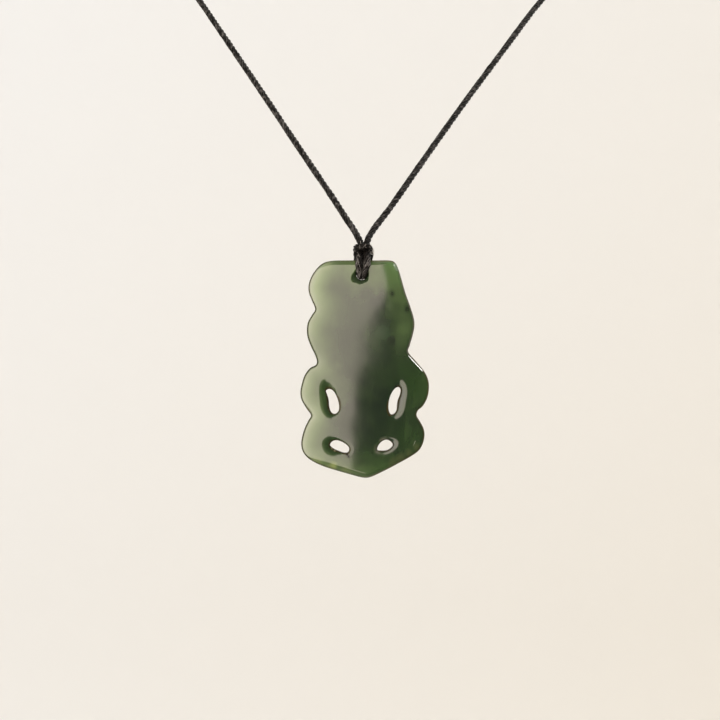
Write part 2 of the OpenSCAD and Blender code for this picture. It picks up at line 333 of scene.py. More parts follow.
def loose_fibres():
    """Fine frayed fibres standing off the knot, most of them on its right side."""
    chance = random.Random(FIBRE_SEED)
    around = hitch_line[:, :3]
    u = np.linspace(0, 1, FIBRE_POINTS)
    parts = []
    while len(parts) < FIBRES:
        start = around[chance.randrange(len(around))]
        right, back, up = start - HANG
        if up < -3.0 or back > 1.0:
            continue
        frayed_side = right > FRAYED_RIGHT and FRAYED_UP[0] < up < FRAYED_UP[1]
        if not frayed_side and chance.random() < ELSEWHERE_SKIPPED:
            continue
        to_right = 0.2 * right + chance.gauss(0, 0.3)
        to_front = -0.9 + chance.gauss(0, 0.3)
        out = unit(np.array([to_right, to_front, chance.gauss(0, 0.3)]))
        run = unit(np.array([chance.gauss(0, 0.5), chance.gauss(0, 0.4), chance.choice((-1, 1))]))
        reach = chance.uniform(1.05, 1.3)
        length = chance.uniform(0.6, 1.7)
        bow = chance.uniform(0.1, 0.4)
        lift = FIBRE_REACH * (reach + bow * np.sin(math.pi * u))
        line = start + out * lift[:, None] + run * (length * (u - 0.5))[:, None]
        line = np.c_[line, 1 - 0.5 * u]
        parts.append(tube(line, FIBRE_R, FIBRE_SIDES, 2.0 if frayed_side else 1.0))
    return joined(parts)


neck_path = evenly(neck_line, NECK_STEP)
whole_loop = np.vstack([neck_path, evenly(hitch_line, HITCH_STEP)])
loop_turn = twist(whole_loop)
loop_directions = framed(whole_loop)
n_neck = len(neck_path)


def loop_part(part):
    """The plies of one stretch of the loop, whose twist runs on from the stretch before."""
    return plies(whole_loop[part], loop_turn[part], PLY_SIDES, CORD_R, [v[part] for v in loop_directions])


neck_cord = mesh_object("neck_cord_plies", *loop_part(slice(0, n_neck)))
core_path = evenly(open_curve([hitch_point(row, 1) for row in HITCH_CORE], 8), HITCH_STEP)
core = plies(core_path, twist(core_path), CORE_SIDES, CORD_R * CORE_SHARE)
hitch_cord = mesh_object("hitch_plies", *joined([loop_part(slice(n_neck, None)), core, loose_fibres()]))


def mark_painted_light(cord):
    """Marks the knot's legs in front as paler, with painted light, and the knot above them as darker, with
    painted shade under its bar.
    """
    _, back, up = (places(cord) - HANG).T
    in_legs = ramp(up, 0.6, -0.6) * (back < -1.0)
    in_knot = ramp(up, 0.3, 1.1) * ramp(up, 6.0, 4.5)
    store(cord, "lit_legs_shaded_knot", 0.5 * in_legs - 2.0 * in_knot)


mark_painted_light(hitch_cord)
mark_painted_light(neck_cord)

# Nape tie: a second strand beside the cord, with a sliding knot near each of its ends
TIE_REACH = 13.0  # from the nape to the middle of each knot
KNOT_LENGTH = 7.0
TIE_TAIL = 4.0  # cord end past each knot
TIE_POINTS = 80
BESIDE = 1.6  # between the middles of the two strands
WRAPS = 4.6
WRAP_POINTS = 160
WRAP_THICK = 1.45  # of one wrap along the knot
WRAP_SHARE = 0.93
WRAP_IN_PLANE = 1.42  # how far the wraps' middle line stands off the strands'
WRAP_ACROSS = 2.05 * WRAP_SHARE


def tie_cord(arc, radius, out, share):
    """Twisted cord along a line about the loop's middle: angle, distance, and out of the loop's plane."""
    c, s = math.cos(LOOP_TILT), math.sin(LOOP_TILT)
    up = radius * np.cos(arc) - LOOP_R
    path = np.stack([radius * np.sin(arc), up * s - out * c, up * c + out * s, np.full(len(arc), share)], 1)
    return plies(path, twist(path), PLY_SIDES, CORD_R)


def tie_strand():
    reach = (TIE_REACH + KNOT_LENGTH / 2 + TIE_TAIL) / LOOP_R
    arc = np.linspace(-reach, reach, TIE_POINTS)
    return tie_cord(arc, LOOP_R, np.full_like(arc, -BESIDE), 1.0)


def sliding_knot(side):
    u = np.linspace(0, 1, WRAP_POINTS)
    arc = side * TIE_REACH / LOOP_R + (u - 0.5) * (KNOT_LENGTH - WRAP_THICK) / LOOP_R
    turn = 2 * math.pi * WRAPS * u
    out = -BESIDE / 2 + WRAP_ACROSS * np.sin(turn)
    return tie_cord(arc, LOOP_R + WRAP_IN_PLANE * np.cos(turn), out, WRAP_SHARE)


nape_tie = mesh_object("nape_tie_wraps", *joined([tie_strand(), sliding_knot(-1), sliding_knot(1)]))

# Stone: places on it are right of its middle and up from its tip
# the outline: right, up, share of the full bevel
OUTLINE = [
    [-4.0, 50.0, 0.85], [2.5, 50.0, 0.85], [5.9, 50.0, 0.75], [7.2, 49.5, 0.6], [8.0, 48.0, 0.45],
    [8.6, 46.1, 0.4], [9.6, 42.6, 0.4], [10.8, 39.2, 0.4], [11.5, 36.9, 0.4], [11.7, 35.0, 0.4],
    [11.3, 32.8, 0.4], [10.6, 30.4, 0.4], [10.3, 28.9, 0.4], [12.1, 26.7, 0.45], [14.0, 24.4, 0.45],
    [14.9, 22.3, 0.35], [15.0, 20.3, 0.35], [14.6, 18.3, 0.35], [13.6, 16.5, 0.35], [12.5, 15.5, 0.3],
    [12.2, 14.3, 0.45], [13.0, 12.9, 0.5], [13.8, 11.3, 0.45], [14.0, 9.7, 0.4], [13.6, 7.8, 0.45],
    [12.6, 6.2, 0.5], [10.8, 4.9, 0.5], [8.5, 3.6, 0.5], [6.3, 2.4, 0.55], [4.1, 1.3, 0.6],
    [2.2, 0.4, 0.7], [0.7, 0.0, 0.8], [-0.9, 0.2, 0.9], [-3.1, 0.8, 0.95], [-5.9, 1.6, 1.0],
    [-8.8, 2.5, 1.0], [-11.1, 3.5, 0.7], [-12.8, 4.6, 0.35], [-13.9, 6.0, 0.35], [-14.3, 7.6, 0.35],
    [-14.1, 9.4, 0.35], [-13.5, 11.4, 0.35], [-12.7, 13.1, 0.35], [-12.1, 14.4, 0.45],
    [-13.2, 16.1, 0.45], [-14.2, 17.9, 0.3], [-14.5, 19.6, 0.35], [-14.2, 21.5, 0.35],
    [-13.5, 23.6, 0.35], [-12.3, 25.2, 0.35], [-11.0, 25.9, 0.35], [-10.7, 26.8, 0.35],
    [-11.1, 28.2, 0.35], [-12.0, 30.1, 0.35], [-12.8, 32.2, 0.35], [-13.0, 34.1, 0.35],
    [-12.7, 35.9, 0.35], [-11.8, 37.5, 0.35], [-11.1, 38.8, 0.35], [-11.8, 40.7, 0.35],
    [-12.5, 42.5, 0.35], [-12.6, 44.3, 0.3], [-12.0, 46.2, 0.35], [-10.9, 47.9, 0.55],
    [-9.4, 49.3, 0.75], [-7.4, 49.9, 0.85],
]
STONE_EDGE = closed_curve(OUTLINE, 8)
# the pierced holes: right and up of the facet's edge, then of the throat inside it
HOLES = {
    "arm_left": [
        [-8.7, 22.9, -7.9, 20.45], [-6.7, 21.7, -6.95, 20.0], [-5.9, 19.3, -6.15, 18.6],
        [-5.4, 17.0, -5.7, 17.1], [-5.5, 15.3, -5.65, 15.8], [-6.0, 13.9, -6.05, 15.0],
        [-7.2, 13.4, -6.8, 14.7], [-8.7, 14.1, -7.5, 15.2], [-9.75, 15.9, -7.9, 16.4],
        [-10.0, 17.9, -8.0, 17.8], [-10.1, 20.2, -8.35, 19.1], [-9.8, 21.8, -8.65, 20.0]],
    "arm_right": [
        [8.5, 22.8, 7.9, 20.9], [9.6, 21.6, 8.5, 20.4], [10.0, 19.7, 8.4, 19.2],
        [9.7, 17.6, 7.9, 17.9], [9.3, 15.6, 7.7, 16.7], [8.4, 14.0, 7.6, 15.6],
        [7.1, 13.25, 7.1, 14.8], [6.2, 14.0, 6.3, 14.6], [5.5, 15.8, 5.8, 15.6],
        [5.6, 17.9, 5.8, 17.3], [6.3, 20.0, 6.2, 18.9], [7.3, 21.7, 7.0, 20.3]],
    "leg_left": [
        [-9.5, 7.6, -7.7, 7.5], [-9.1, 8.9, -7.4, 8.2], [-7.7, 9.8, -6.7, 8.6],
        [-6.0, 9.7, -5.8, 8.6], [-4.2, 9.0, -4.8, 8.2], [-3.0, 7.9, -3.9, 7.6],
        [-2.5, 6.7, -3.3, 6.8], [-3.0, 5.5, -3.6, 5.9], [-4.4, 5.1, -4.5, 5.8],
        [-6.1, 4.7, -5.5, 6.1], [-7.8, 5.1, -6.5, 6.5], [-9.0, 6.1, -7.3, 7.0]],
    "leg_right": [
        [2.1, 6.4, 3.15, 6.6], [2.4, 7.5, 3.3, 7.2], [3.2, 8.8, 3.8, 8.0],
        [4.7, 9.5, 4.6, 8.6], [6.2, 9.5, 5.4, 8.75], [7.5, 8.9, 6.2, 8.4],
        [8.0, 8.0, 6.7, 7.7], [7.5, 6.8, 6.5, 7.1], [6.3, 5.8, 5.75, 6.5],
        [5.0, 5.15, 4.9, 6.25], [3.6, 5.1, 3.9, 6.25], [2.4, 5.6, 3.35, 6.3]],
}
HALF_T = 2.1  # half the thickness at the rim
SOFT_EDGE = 0.07  # from an edge to where it begins to round over

# the rim and its bevels
FRONT_BEVEL = 1.2
BACK_BEVEL = 0.6
BEVEL_FALL = 0.8  # depth of a bevel for each millimetre of its width
BEVEL_STEPS = [(0.88, 0.006), (0.5, -0.008), (0.12, 0.006)]  # share of the width, how far it lies in
RIM_SWELL = 0.05  # of the rim's side, half way through the stone

# the facets round the pierced holes
FACET_IN = 0.3  # a facet starts this far inside its table's edge
FACET_LEAST = 0.7  # share of the table's width that a narrow facet keeps
FACET_SHARE = 0.72  # of the way to the throat, and the steep wall after it
FACET_SLOPE = 0.4
FACET_DEPTH = 0.7
FACET_BOW = 1.4  # above 1 the facet steepens towards its wall
FACET_STEPS = (0.0, 0.12, 0.25, 0.4, 0.6, 0.8, 0.94)
RUN_OUT = 0.55  # width of the soft edge outside a facet
RUN_OUT_SLOPE = 0.12
RUN_OUT_STEPS = (RUN_OUT + 0.1, RUN_OUT, 0.75 * RUN_OUT, 0.5 * RUN_OUT, 0.25 * RUN_OUT)
WALL_DEPTH = 0.64
WALL_STEPS = [(0.06, 0.05), (0.3, 0.15), (0.6, 0.35), (0.85, 0.625), (1.0, 1.0)]  # across, down
BACK_FLARE = 0.35
# marks from the front face into a pierced hole, loop by loop: facet, steep wall
HOLE_MARKS = [
    (0, 0), (0, 0), (0.03, 0), (0.1, 0), (0.2, 0), (0.35, 0), (0.5, 0), (0.7, 0), (0.9, 0),
    (1, 0), (1, 0), (1, 0.15), (1, 0.6), (1, 0.9), (1, 1),
]
DARK_EDGE = 0.26  # width of the dark band at a throat
DARK_EDGE_MORE = 0.3  # and the more of it where the facet is narrow
DARK_EDGE_FADE = 0.1

# the drilled hole
BORE_CENTRE = np.array([-0.4, 46.75])
BORE_R = 1.225
BORE_SIDES = 72
POCKET_DEPTH = 0.85
BACK_SINK = 0.65  # width and depth of the countersink behind
BORE_FACET = 0.8  # share of the facets' green in the hole
# corners of its front pocket: turn from the right in degrees, distance from the hole's middle
POCKET = [
    [0, 1.6], [60, 1.6], [120, 1.65], [163, 1.75], [205, 2.6], [220, 2.6], [243, 2.15], [265, 2.25],
    [291, 2.0], [311, 2.1], [340, 1.65], [360, 1.6],
]

# the front face's ridge, where the soft reflection ends: up, right, roundness
CREST = [
    [50, 4.4, 0.8], [48.3, 4.9, 0.8], [46, 5.8, 0.9], [43.5, 5.9, 1.0], [41, 5.7, 2.0], [38.6, 4.6, 5.0],
    [36.3, 3.5, 10.0], [34, 2.6, 15.0], [31.7, 1.8, 20.0], [29.4, 1.4, 18.0], [27, 0.9, 10.0],
    [24.8, -1.2, 10.0], [21.3, -2.0, 6.0], [18, -2.0, 2.5], [14.4, -1.7, 2.5], [12.2, -3.2, 5.0],
    [10.3, -2.8, 3.5], [8, -2.0, 2.3], [5, -2.7, 2.4], [0, -3.4, 2.4],
]
RIDGE_UP = np.linspace(-4, 54, 233)  # heights at which the ridge is worked out
RIDGE_BLUR = 5.0  # in steps of those heights
BLUR_REACH = 24
MIDDLE_UP = 25.0
FRONT_SWELL = 0.36
FRONT_TILT = 0.022  # fall of the face to each side of its ridge
FRONT_ROUND = (0.0005, 0.00012)  # across and up
BACK_SWELL = 0.2
BACK_ROUND = (0.0008, 0.0001)

NET_FRONT = 0.6  # spacing of the fine net that fills each face
NET_BACK = 0.8
AT_A_TIME = 2000


def blurred_ridge(column):
    """One column of the ridge's table, softened, at each of the ridge's heights."""
    rows = np.array(CREST[::-1], float)
    line = np.interp(RIDGE_UP, rows[:, 0], rows[:, column])
    steps = np.arange(-BLUR_REACH, BLUR_REACH + 1)
    blur = np.exp(-0.5 * (steps / RIDGE_BLUR) ** 2)
    return np.convolve(np.pad(line, BLUR_REACH, mode="edge"), blur / blur.sum(), mode="valid")


RIDGE_RIGHT = blurred_ridge(1)
RIDGE_ROUNDNESS = blurred_ridge(2)


def front_rise(x, z):
    """How far the front face stands past the rim's half thickness."""
    d = x - np.interp(z, RIDGE_UP, RIDGE_RIGHT)
    roundness = np.interp(z, RIDGE_UP, RIDGE_ROUNDNESS)
    fall = FRONT_TILT * (np.sqrt(d * d + roundness * roundness) - roundness)
    return FRONT_SWELL - fall - FRONT_ROUND[0] * d * d - FRONT_ROUND[1] * (z - MIDDLE_UP) ** 2


def back_rise(x, z):
    return BACK_SWELL - BACK_ROUND[0] * x * x - BACK_ROUND[1] * (z - MIDDLE_UP) ** 2


def front_y(xz):
    return -(HALF_T + front_rise(xz[:, 0], xz[:, 1]))


def back_y(xz):
    return HALF_T + back_rise(xz[:, 0], xz[:, 1])


def run_out(w):
    """Fall of the face where it rounds softly over into a facet, w outside the facet's edge."""
    return RUN_OUT_SLOPE * max(0.0, RUN_OUT - w) ** 2 / (2 * RUN_OUT)


def ring_normals(ring):
    """Inward normals of a closed ring that runs clockwise in x and z."""
    t = np.roll(ring, -1, axis=0) - np.roll(ring, 1, axis=0)
    return unit(np.stack([t[:, 1], -t[:, 0]], 1))


def inside(points, ring):
    """Which points lie inside a closed ring."""
    x, y = points[:, 0][:, None], points[:, 1][:, None]
    x1, y1 = ring[:, 0][None], ring[:, 1][None]
    x2, y2 = np.roll(ring[:, 0], -1)[None], np.roll(ring[:, 1], -1)[None]
    cross = ((y1 > y) != (y2 > y)) & (x < (x2 - x1) * (y - y1) / (y2 - y1 + 1e-12) + x1)
    return cross.sum(1) % 2 == 1


def in_region(points, rings):
    """Which points lie inside the first ring and outside the others."""
    keep = inside(points, rings[0])
    for ring in rings[1:]:
        keep &= ~inside(points, ring)
    return keep


def distances(points, ring):
    """The points a slice at a time, with their distances from all points of a ring."""
    for start in range(0, len(points), AT_A_TIME):
        some = slice(start, start + AT_A_TIME)
        yield some, np.linalg.norm(points[some, None] - ring[None], axis=2)


def far_from(points, ring, room):
    """Which points lie further from a ring than the room it needs."""
    far = np.ones(len(points), bool)
    for some, d in distances(points, ring):
        far[some] = d.min(1) > room
    return far


def pocket_radius(turn):
    degrees, reach = np.array(POCKET, float).T
    return np.interp(np.degrees(turn) % 360, degrees, reach)


def even_net(rings, spacing):
    """Points of an even net inside the first ring and outside the others, clear of them all."""
    low, high = rings[0].min(0), rings[0].max(0)
    net = np.array([
        (x, z) for row, z in enumerate(np.arange(low[1], high[1], spacing * 0.87))
        for x in np.arange(low[0] + (row % 2) * spacing / 2, high[0], spacing)
    ])
    keep = in_region(net, rings)
    for ring in rings:
        keep &= far_from(net, ring, spacing * 0.6)
    return net[keep]


class Shell:
    """The stone's vertices and faces, and the marks of some vertices: facet, hole wall."""

    def __init__(self):
        self.verts = []
        self.faces = []
        self.marks = {}

    def loop(self, xz, y):
        base = len(self.verts)
        for (x, z), depth in zip(xz, np.broadcast_to(y, len(xz))):
            self.verts.append((x, depth, z))
        return list(range(base, base + len(xz)))

    def on(self, face, xz):
        return self.loop(xz, face(xz))

    def strips(self, loops, around_hole):
        """Joins each loop with the next. The faces around a hole turn the other way."""
        for a, b in zip(loops, loops[1:]):
            if around_hole:
                a, b = b, a
            for i in range(len(a)):
                j = (i + 1) % len(a)
                self.faces.append((a[i], a[j], b[j], b[i]))

    def face(self, loops, rise, sign, spacing):
        """Fills the region between the first loop and the others with a fine even net."""
        rings = [np.array([(self.verts[i][0], self.verts[i][2]) for i in loop]) for loop in loops]
        edges = []
        base = 0
        for ring in rings:
            n = len(ring)
            edges += [(base + i, base + (i + 1) % n) for i in range(n)]
            base += n
        points = [Vector(p) for p in np.vstack(rings + [even_net(rings, spacing)])]
        made_points, _, made_faces, sources, _, _ = geometry.delaunay_2d_cdt(points, edges, [], 0, 1e-7)
        xz = np.array([tuple(p) for p in made_points])
        known = [i for loop in loops for i in loop]
        index = {}
        for new, old in enumerate(sources):
            if old and old[0] < len(known):
                index[new] = known[old[0]]
                continue
            x, z = xz[new]
            index[new] = len(self.verts)
            self.verts.append((x, sign * (HALF_T + float(rise(x, z))), z))
        triangles = np.array([f for f in made_faces if len(f) == 3])
        for triangle in triangles[in_region(xz[triangles].mean(1), rings)]:
            self.faces.append([index[corner] for corner in triangle])


def rim_loops(shell):
    """From the front face round the rim to the back face."""
    ring = STONE_EDGE[:, :2]
    inward = ring_normals(ring)
    bevel = softened(STONE_EDGE[:, 2] * FRONT_BEVEL, 2)
    rim_front = -HALF_T + BEVEL_FALL * bevel
    rim_back = HALF_T - BEVEL_FALL * BACK_BEVEL
    face_edge = front_y(ring + inward * bevel[:, None])
    loops = [shell.on(front_y, ring + inward * (bevel + past)[:, None]) for past in (0.22, SOFT_EDGE)]
    for f, in_by in BEVEL_STEPS:
        xz = ring + inward * (bevel * f)[:, None]
        loops.append(shell.loop(xz, face_edge + (rim_front - face_edge) * (1 - f) + in_by))
    loops.append(shell.loop(ring, rim_front + SOFT_EDGE))
    for f in (0.2, 0.5, 0.8):
        xz = ring - inward * RIM_SWELL * math.sin(math.pi * f)
        loops.append(shell.loop(xz, rim_front + (rim_back - rim_front) * f))
    loops.append(shell.loop(ring, rim_back - SOFT_EDGE))
    for f in (0.12, 0.5, 0.88):
        xz = ring + inward * (BACK_BEVEL * f)
        loops.append(shell.loop(xz, rim_back + (back_y(xz) - rim_back) * f))
    return loops + [shell.on(back_y, ring + inward * (BACK_BEVEL + past)) for past in (SOFT_EDGE, 0.25)]


def hole_loops(shell, table):
    """From the front face down a pierced hole's facet and wall and through to the back face."""
    rows = softened(closed_curve(table, 9), 4)
    edge, throat = rows[:, :2], rows[:, 2:]
    table_width = np.linalg.norm(edge - throat, axis=1)
    kept = np.maximum(table_width - FACET_IN, FACET_LEAST * table_width) / table_width
    edge = throat + (edge - throat) * kept[:, None]
    inward = throat - edge
    outward = -ring_normals(edge)
    spread = unit(throat - throat.mean(0))
    top = front_y(edge) + run_out(0)
    drop = np.minimum(FACET_SLOPE * FACET_SHARE * np.linalg.norm(inward, axis=1), FACET_DEPTH)
    wall_bottom = top + drop + WALL_DEPTH
    flare_top = HALF_T - BACK_FLARE
    flare_bottom = back_y(throat + spread * BACK_FLARE)
    loops = []
    for past in RUN_OUT_STEPS:
        xz = edge + outward * past
        loops.append(shell.loop(xz, front_y(xz) + run_out(past)))
    for f in FACET_STEPS:
        loops.append(shell.loop(edge + inward * FACET_SHARE * f, top + drop * f ** FACET_BOW))
    for across, down in WALL_STEPS:
        xz = edge + inward * (FACET_SHARE + (1 - FACET_SHARE) * across)
        loops.append(shell.loop(xz, top + drop + WALL_DEPTH * down))
    loops += [shell.loop(throat, wall_bottom + (flare_top - wall_bottom) * f) for f in (0.3, 0.8, 1.0)]
    for f in (0.15, 0.5, 0.85):
        xz = throat + spread * BACK_FLARE * f
        loops.append(shell.loop(xz, flare_top + (flare_bottom - flare_top) * f))
    loops += [shell.on(back_y, throat + spread * (BACK_FLARE + past)) for past in (0.1, 0.3)]
    dark_edge = DARK_EDGE + DARK_EDGE_MORE * ramp(table_width, 1.1, 0.6)
    mark_hole(shell, loops[:-2], throat, dark_edge)
    return loops


def mark_hole(shell, loops, throat, dark_edge):
    """Marks a pierced hole's facet, and its steep wall with the dark band beside it."""
    for step, ids in enumerate(loops):
        facet_share, wall_share = HOLE_MARKS[min(step, len(HOLE_MARKS) - 1)]
        for n, i in enumerate(ids):
            x, _, z = shell.verts[i]
            past = dark_edge[n] - math.hypot(x - throat[n, 0], z - throat[n, 1])
            shell.marks[i] = (facet_share, max(wall_share, float(ramp(past, 0, DARK_EDGE_FADE))))


def bore_loops(shell):
    """From the front face down the drilled hole's uneven pocket and through to the back face."""
    turn = -np.linspace(0, 2 * math.pi, BORE_SIDES, endpoint=False)
    circle = np.stack([np.cos(turn), np.sin(turn)], 1)
    pocket = pocket_radius(turn)
    wall = BORE_CENTRE + circle * BORE_R
    pocket_bottom = front_y(wall) + POCKET_DEPTH
    loops = [shell.on(front_y, BORE_CENTRE + circle * (pocket + past)[:, None]) for past in (0.25, 0.05)]
    for f in (0.05, 0.5, 0.95):
        xz = BORE_CENTRE + circle * (pocket + (BORE_R - pocket) * f)[:, None]
        loops.append(shell.loop(xz, front_y(xz) + POCKET_DEPTH * f))
    loops.append(shell.loop(wall, pocket_bottom + 0.08))
    sink_start = HALF_T - BACK_SINK
    for f in (0.3, 0.7):
        loops.append(shell.loop(wall, pocket_bottom + (sink_start - 0.05 - pocket_bottom) * f))
    loops.append(shell.loop(wall, sink_start))
    for f in (0.1, 0.5, 0.9):
        xz = BORE_CENTRE + circle * (BORE_R + BACK_SINK * f)
        loops.append(shell.loop(xz, sink_start + 0.05 + (back_y(xz) - sink_start - 0.05) * f))
    loops += [shell.on(back_y, BORE_CENTRE + circle * (BORE_R + BACK_SINK + past)) for past in (0.06, 0.25)]
    for ids in loops[2:-2]:
        for i in ids:
            shell.marks[i] = (BORE_FACET, 0)
    return loops


def face_outwards(obj):
    """Turns every face of a closed mesh to look out."""
    bm = bmesh.new()
    bm.from_mesh(obj.data)
    bmesh.ops.recalc_face_normals(bm, faces=bm.faces)
    bm.to_mesh(obj.data)
    bm.free()


def build_stone():
    shell = Shell()
    rim = rim_loops(shell)
    shell.strips(rim, around_hole=False)
    fronts = [rim[0]]
    backs = [rim[-1]]
    pierced = [hole_loops(shell, table) for table in HOLES.values()]
    for loops in pierced + [bore_loops(shell)]:
        shell.strips(loops, around_hole=True)
        fronts.append(loops[0])
        backs.append(loops[-1])
    shell.face(fronts, front_rise, -1, NET_FRONT)
    shell.face(backs, back_rise, 1, NET_BACK)
    verts = np.array(shell.verts) + np.array([HANG[0], HANG[1], TIP_Z])
    obj = mesh_object("greenstone_figure", verts, shell.faces)
    face_outwards(obj)
    marks = np.zeros((len(verts), 2))
    for i, pair in shell.marks.items():
        marks[i] = pair
    store(obj, "facet", marks[:, 0])
    store(obj, "hole_wall", marks[:, 1])
    return obj


# Painted light through the stone's thin edge, mostly where it faces left: how far in it reaches, and how
# strong it is
EDGE_REACH = 3.4
EDGE_STRENGTH = 0.85
FACING_REACH = 1.6  # stretch of the edge that decides which way it faces
SHADED = 0.05  # what is left of it on the right
BROAD_REACH = 8.0  # a faint wider light in the upper half
BROAD_STRENGTH = 0.15
# where it is stronger or weaker: up, spread, change
EDGE_CHANGES = [(29.0, 4.8, -0.5), (46.0, 6.0, 0.2), (38.4, 2.6, -0.28)]
RIM_LIGHT = 0.7
# widths of the painted shade lines along the left rim and the right rim
LEFT_RIM_WIDTH = 0.31
RIGHT_RIM_WIDTH = 0.25


def edge_facts(xz):
    """How far points lie from the stone's edge, and how much the nearest stretch of it faces left."""
    ring = STONE_EDGE[:, :2]
    outward = -ring_normals(ring)
    away = np.zeros(len(xz))
    facing = np.zeros((len(xz), 2))
    for some, d in distances(xz, ring):
        away[some] = d.min(1)
        weight = np.exp(-(d - d.min(1)[:, None]) / FACING_REACH)
        facing[some] = (weight[:, :, None] * outward[None]).sum(1) / weight.sum(1)[:, None]
    facing /= np.maximum(np.linalg.norm(facing, axis=1, keepdims=True), 0.3)
    return away, ramp(facing[:, 0], 0.35, -1.0)


def mark_stone(obj):
    """Marks on the stone: painted light through the thin edges and along the left rim, painted shade in the
    dark rim lines, and its side.
    """
    co = places(obj)
    xz = co[:, [0, 2]] - np.array([0, TIP_Z])
    up = xz[:, 1]
    depth = co[:, 1] - HANG[1]
    away, leftward = edge_facts(xz)
    on_front = ramp(depth, -0.8, -1.2)
    store(obj, "side_wall", (away < 0.08) * ramp(depth, -1.7, -1.3) * ramp(depth, 1.7, 1.5))
    through = (SHADED + (1 - SHADED) * leftward) * (0.6 + 0.4 * on_front)
    for middle, spread, change in EDGE_CHANGES:
        through *= 1 + change * np.exp(-((up - middle) / spread) ** 2)
    broad = BROAD_STRENGTH * ramp(up, 27.0, 32.0) * np.exp(-(away / BROAD_REACH) ** 2)
    store(obj, "painted_edge_glow", EDGE_STRENGTH * through * (np.exp(-(away / EDGE_REACH) ** 2) + broad))
    # painted light: a pale band along the rim where it faces left
    rim_light = RIM_LIGHT * on_front * through * np.clip(1.5 * leftward - 0.3, 0, 1)
    store(obj, "rim_light", rim_light * ramp(up, 3.5, 5.5) * np.exp(-away))
    # painted shade: a thin dark line along the rim where it faces left
    left_rim_shade = np.exp(-(away / LEFT_RIM_WIDTH) ** 6)
    # painted shade: a thin brownish dark line along the rim where it faces right
    right_rim_shade = np.exp(-(away / RIGHT_RIM_WIDTH) ** 4)
    store(obj, "left_rim_shade", on_front * ramp(leftward, 0.2, 0.7) * left_rim_shade)
    store(obj, "right_rim_shade", on_front * ramp(leftward, 0.4, 0.0) * right_rim_shade)


stone = build_stone()
mark_stone(stone)


# Materials
class Tree:
    """Short hand for building a node tree."""

    def __init__(self, tree):
        self.tree = tree

    def node(self, kind, inputs=None, **settings):
        n = self.tree.nodes.new(kind)
        for key, value in settings.items():
            setattr(n, key, value)
        self.fill(n, inputs or {})
        return n

    def fill(self, node, inputs):
        for key, value in inputs.items():
            self.put(node.inputs[key], value)

    def put(self, socket, value):
        if isinstance(value, bpy.types.NodeSocket):
            self.tree.links.new(value, socket)
        else:
            socket.default_value = value

    def math(self, operation, a, b=0.0, c=0.0):
        return self.node("ShaderNodeMath", {0: a, 1: b, 2: c}, operation=operation).outputs[0]

    def times(self, a, b):
        return self.math("MULTIPLY", a, b)

    def vector(self, operation, a, b=(0.0, 0.0, 0.0)):
        return self.node("ShaderNodeVectorMath", {0: a, 1: b}, operation=operation).outputs

    def span(self, value, low, high, to_low=0.0, to_high=1.0, kind="SMOOTHSTEP"):
        spans = {"Value": value, "From Min": low, "From Max": high, "To Min": to_low, "To Max": to_high}
        return self.node("ShaderNodeMapRange", spans, interpolation_type=kind).outputs[0]

    def mix(self, factor, a, b):
        """Colour a turning into colour b, each a socket or its red, green and blue."""
        n = self.node("ShaderNodeMix", {"Factor": factor}, data_type="RGBA")
        for socket, colour in ((n.inputs[6], a), (n.inputs[7], b)):
            self.put(socket, (*colour, 1) if isinstance(colour, tuple) else colour)
        return n.outputs[2]

    def noise(self, vector, scale, detail=3.0, rough=0.5, distort=0.0):
        settings = {"Vector": vector, "Scale": scale, "Detail": detail, "Roughness": rough,
                    "Distortion": distort}
        return self.node("ShaderNodeTexNoise", settings).outputs["Fac"]

    def bump(self, height, strength, distance):
        settings = {"Strength": strength, "Distance": distance, "Height": height}
        return self.node("ShaderNodeBump", settings).outputs[0]

    def here(self, kind):
        return self.node("ShaderNodeTexCoord").outputs[kind]

    def part(self, vector, axis):
        return self.node("ShaderNodeSeparateXYZ", {0: vector}).outputs[axis]

    def stored(self, name):
        return self.node("ShaderNodeAttribute", attribute_name=name).outputs["Fac"]

    def group(self, tree, **inputs):
        return self.node("ShaderNodeGroup", inputs, node_tree=tree).outputs[0]


def node_group(name, inputs, output):
    """An empty group with its sockets, and its tree, its first node and its last."""
    g = bpy.data.node_groups.new(name, "ShaderNodeTree")
    for label, kind in inputs.items():
        g.interface.new_socket(label, in_out="INPUT", socket_type=kind)
    g.interface.new_socket(output, in_out="OUTPUT", socket_type="NodeSocketFloat")
    t = Tree(g)
    return g, t, t.node("NodeGroupInput"), t.node("NodeGroupOutput")


def material(name):
    m = bpy.data.materials.new(name)
    m.use_nodes = True
    m.node_tree.nodes.clear()
    t = Tree(m.node_tree)
    shader = t.node("ShaderNodeBsdfPrincipled")
    t.node("ShaderNodeOutputMaterial", {0: shader.outputs[0]})
    return m, t, shader


def speck_group():
    """A soft round mark in the stone about a point, with an uneven edge."""
    sockets = {"Vector": "NodeSocketVector", "Centre": "NodeSocketVector", "Radius": "NodeSocketFloat"}
    g, t, start, end = node_group("greenstone_speck", sockets, "Mark")
    away = t.vector("SUBTRACT", start.outputs["Vector"], start.outputs["Centre"])[0]
    drawn_out = t.vector("MULTIPLY", away, (1.0, 0.25, 0.8))[0]
    size = t.vector("LENGTH", drawn_out)["Value"]
    uneven = t.span(t.noise(start.outputs["Vector"], 300.0, 2.0), 0.3, 0.7, 0.75, 1.25)
    share = t.math("DIVIDE", t.times(size, uneven), start.outputs["Radius"])
    t.put(end.inputs["Mark"], t.span(share, 0.1, 1.0, 1.0, 0.0))
    return g


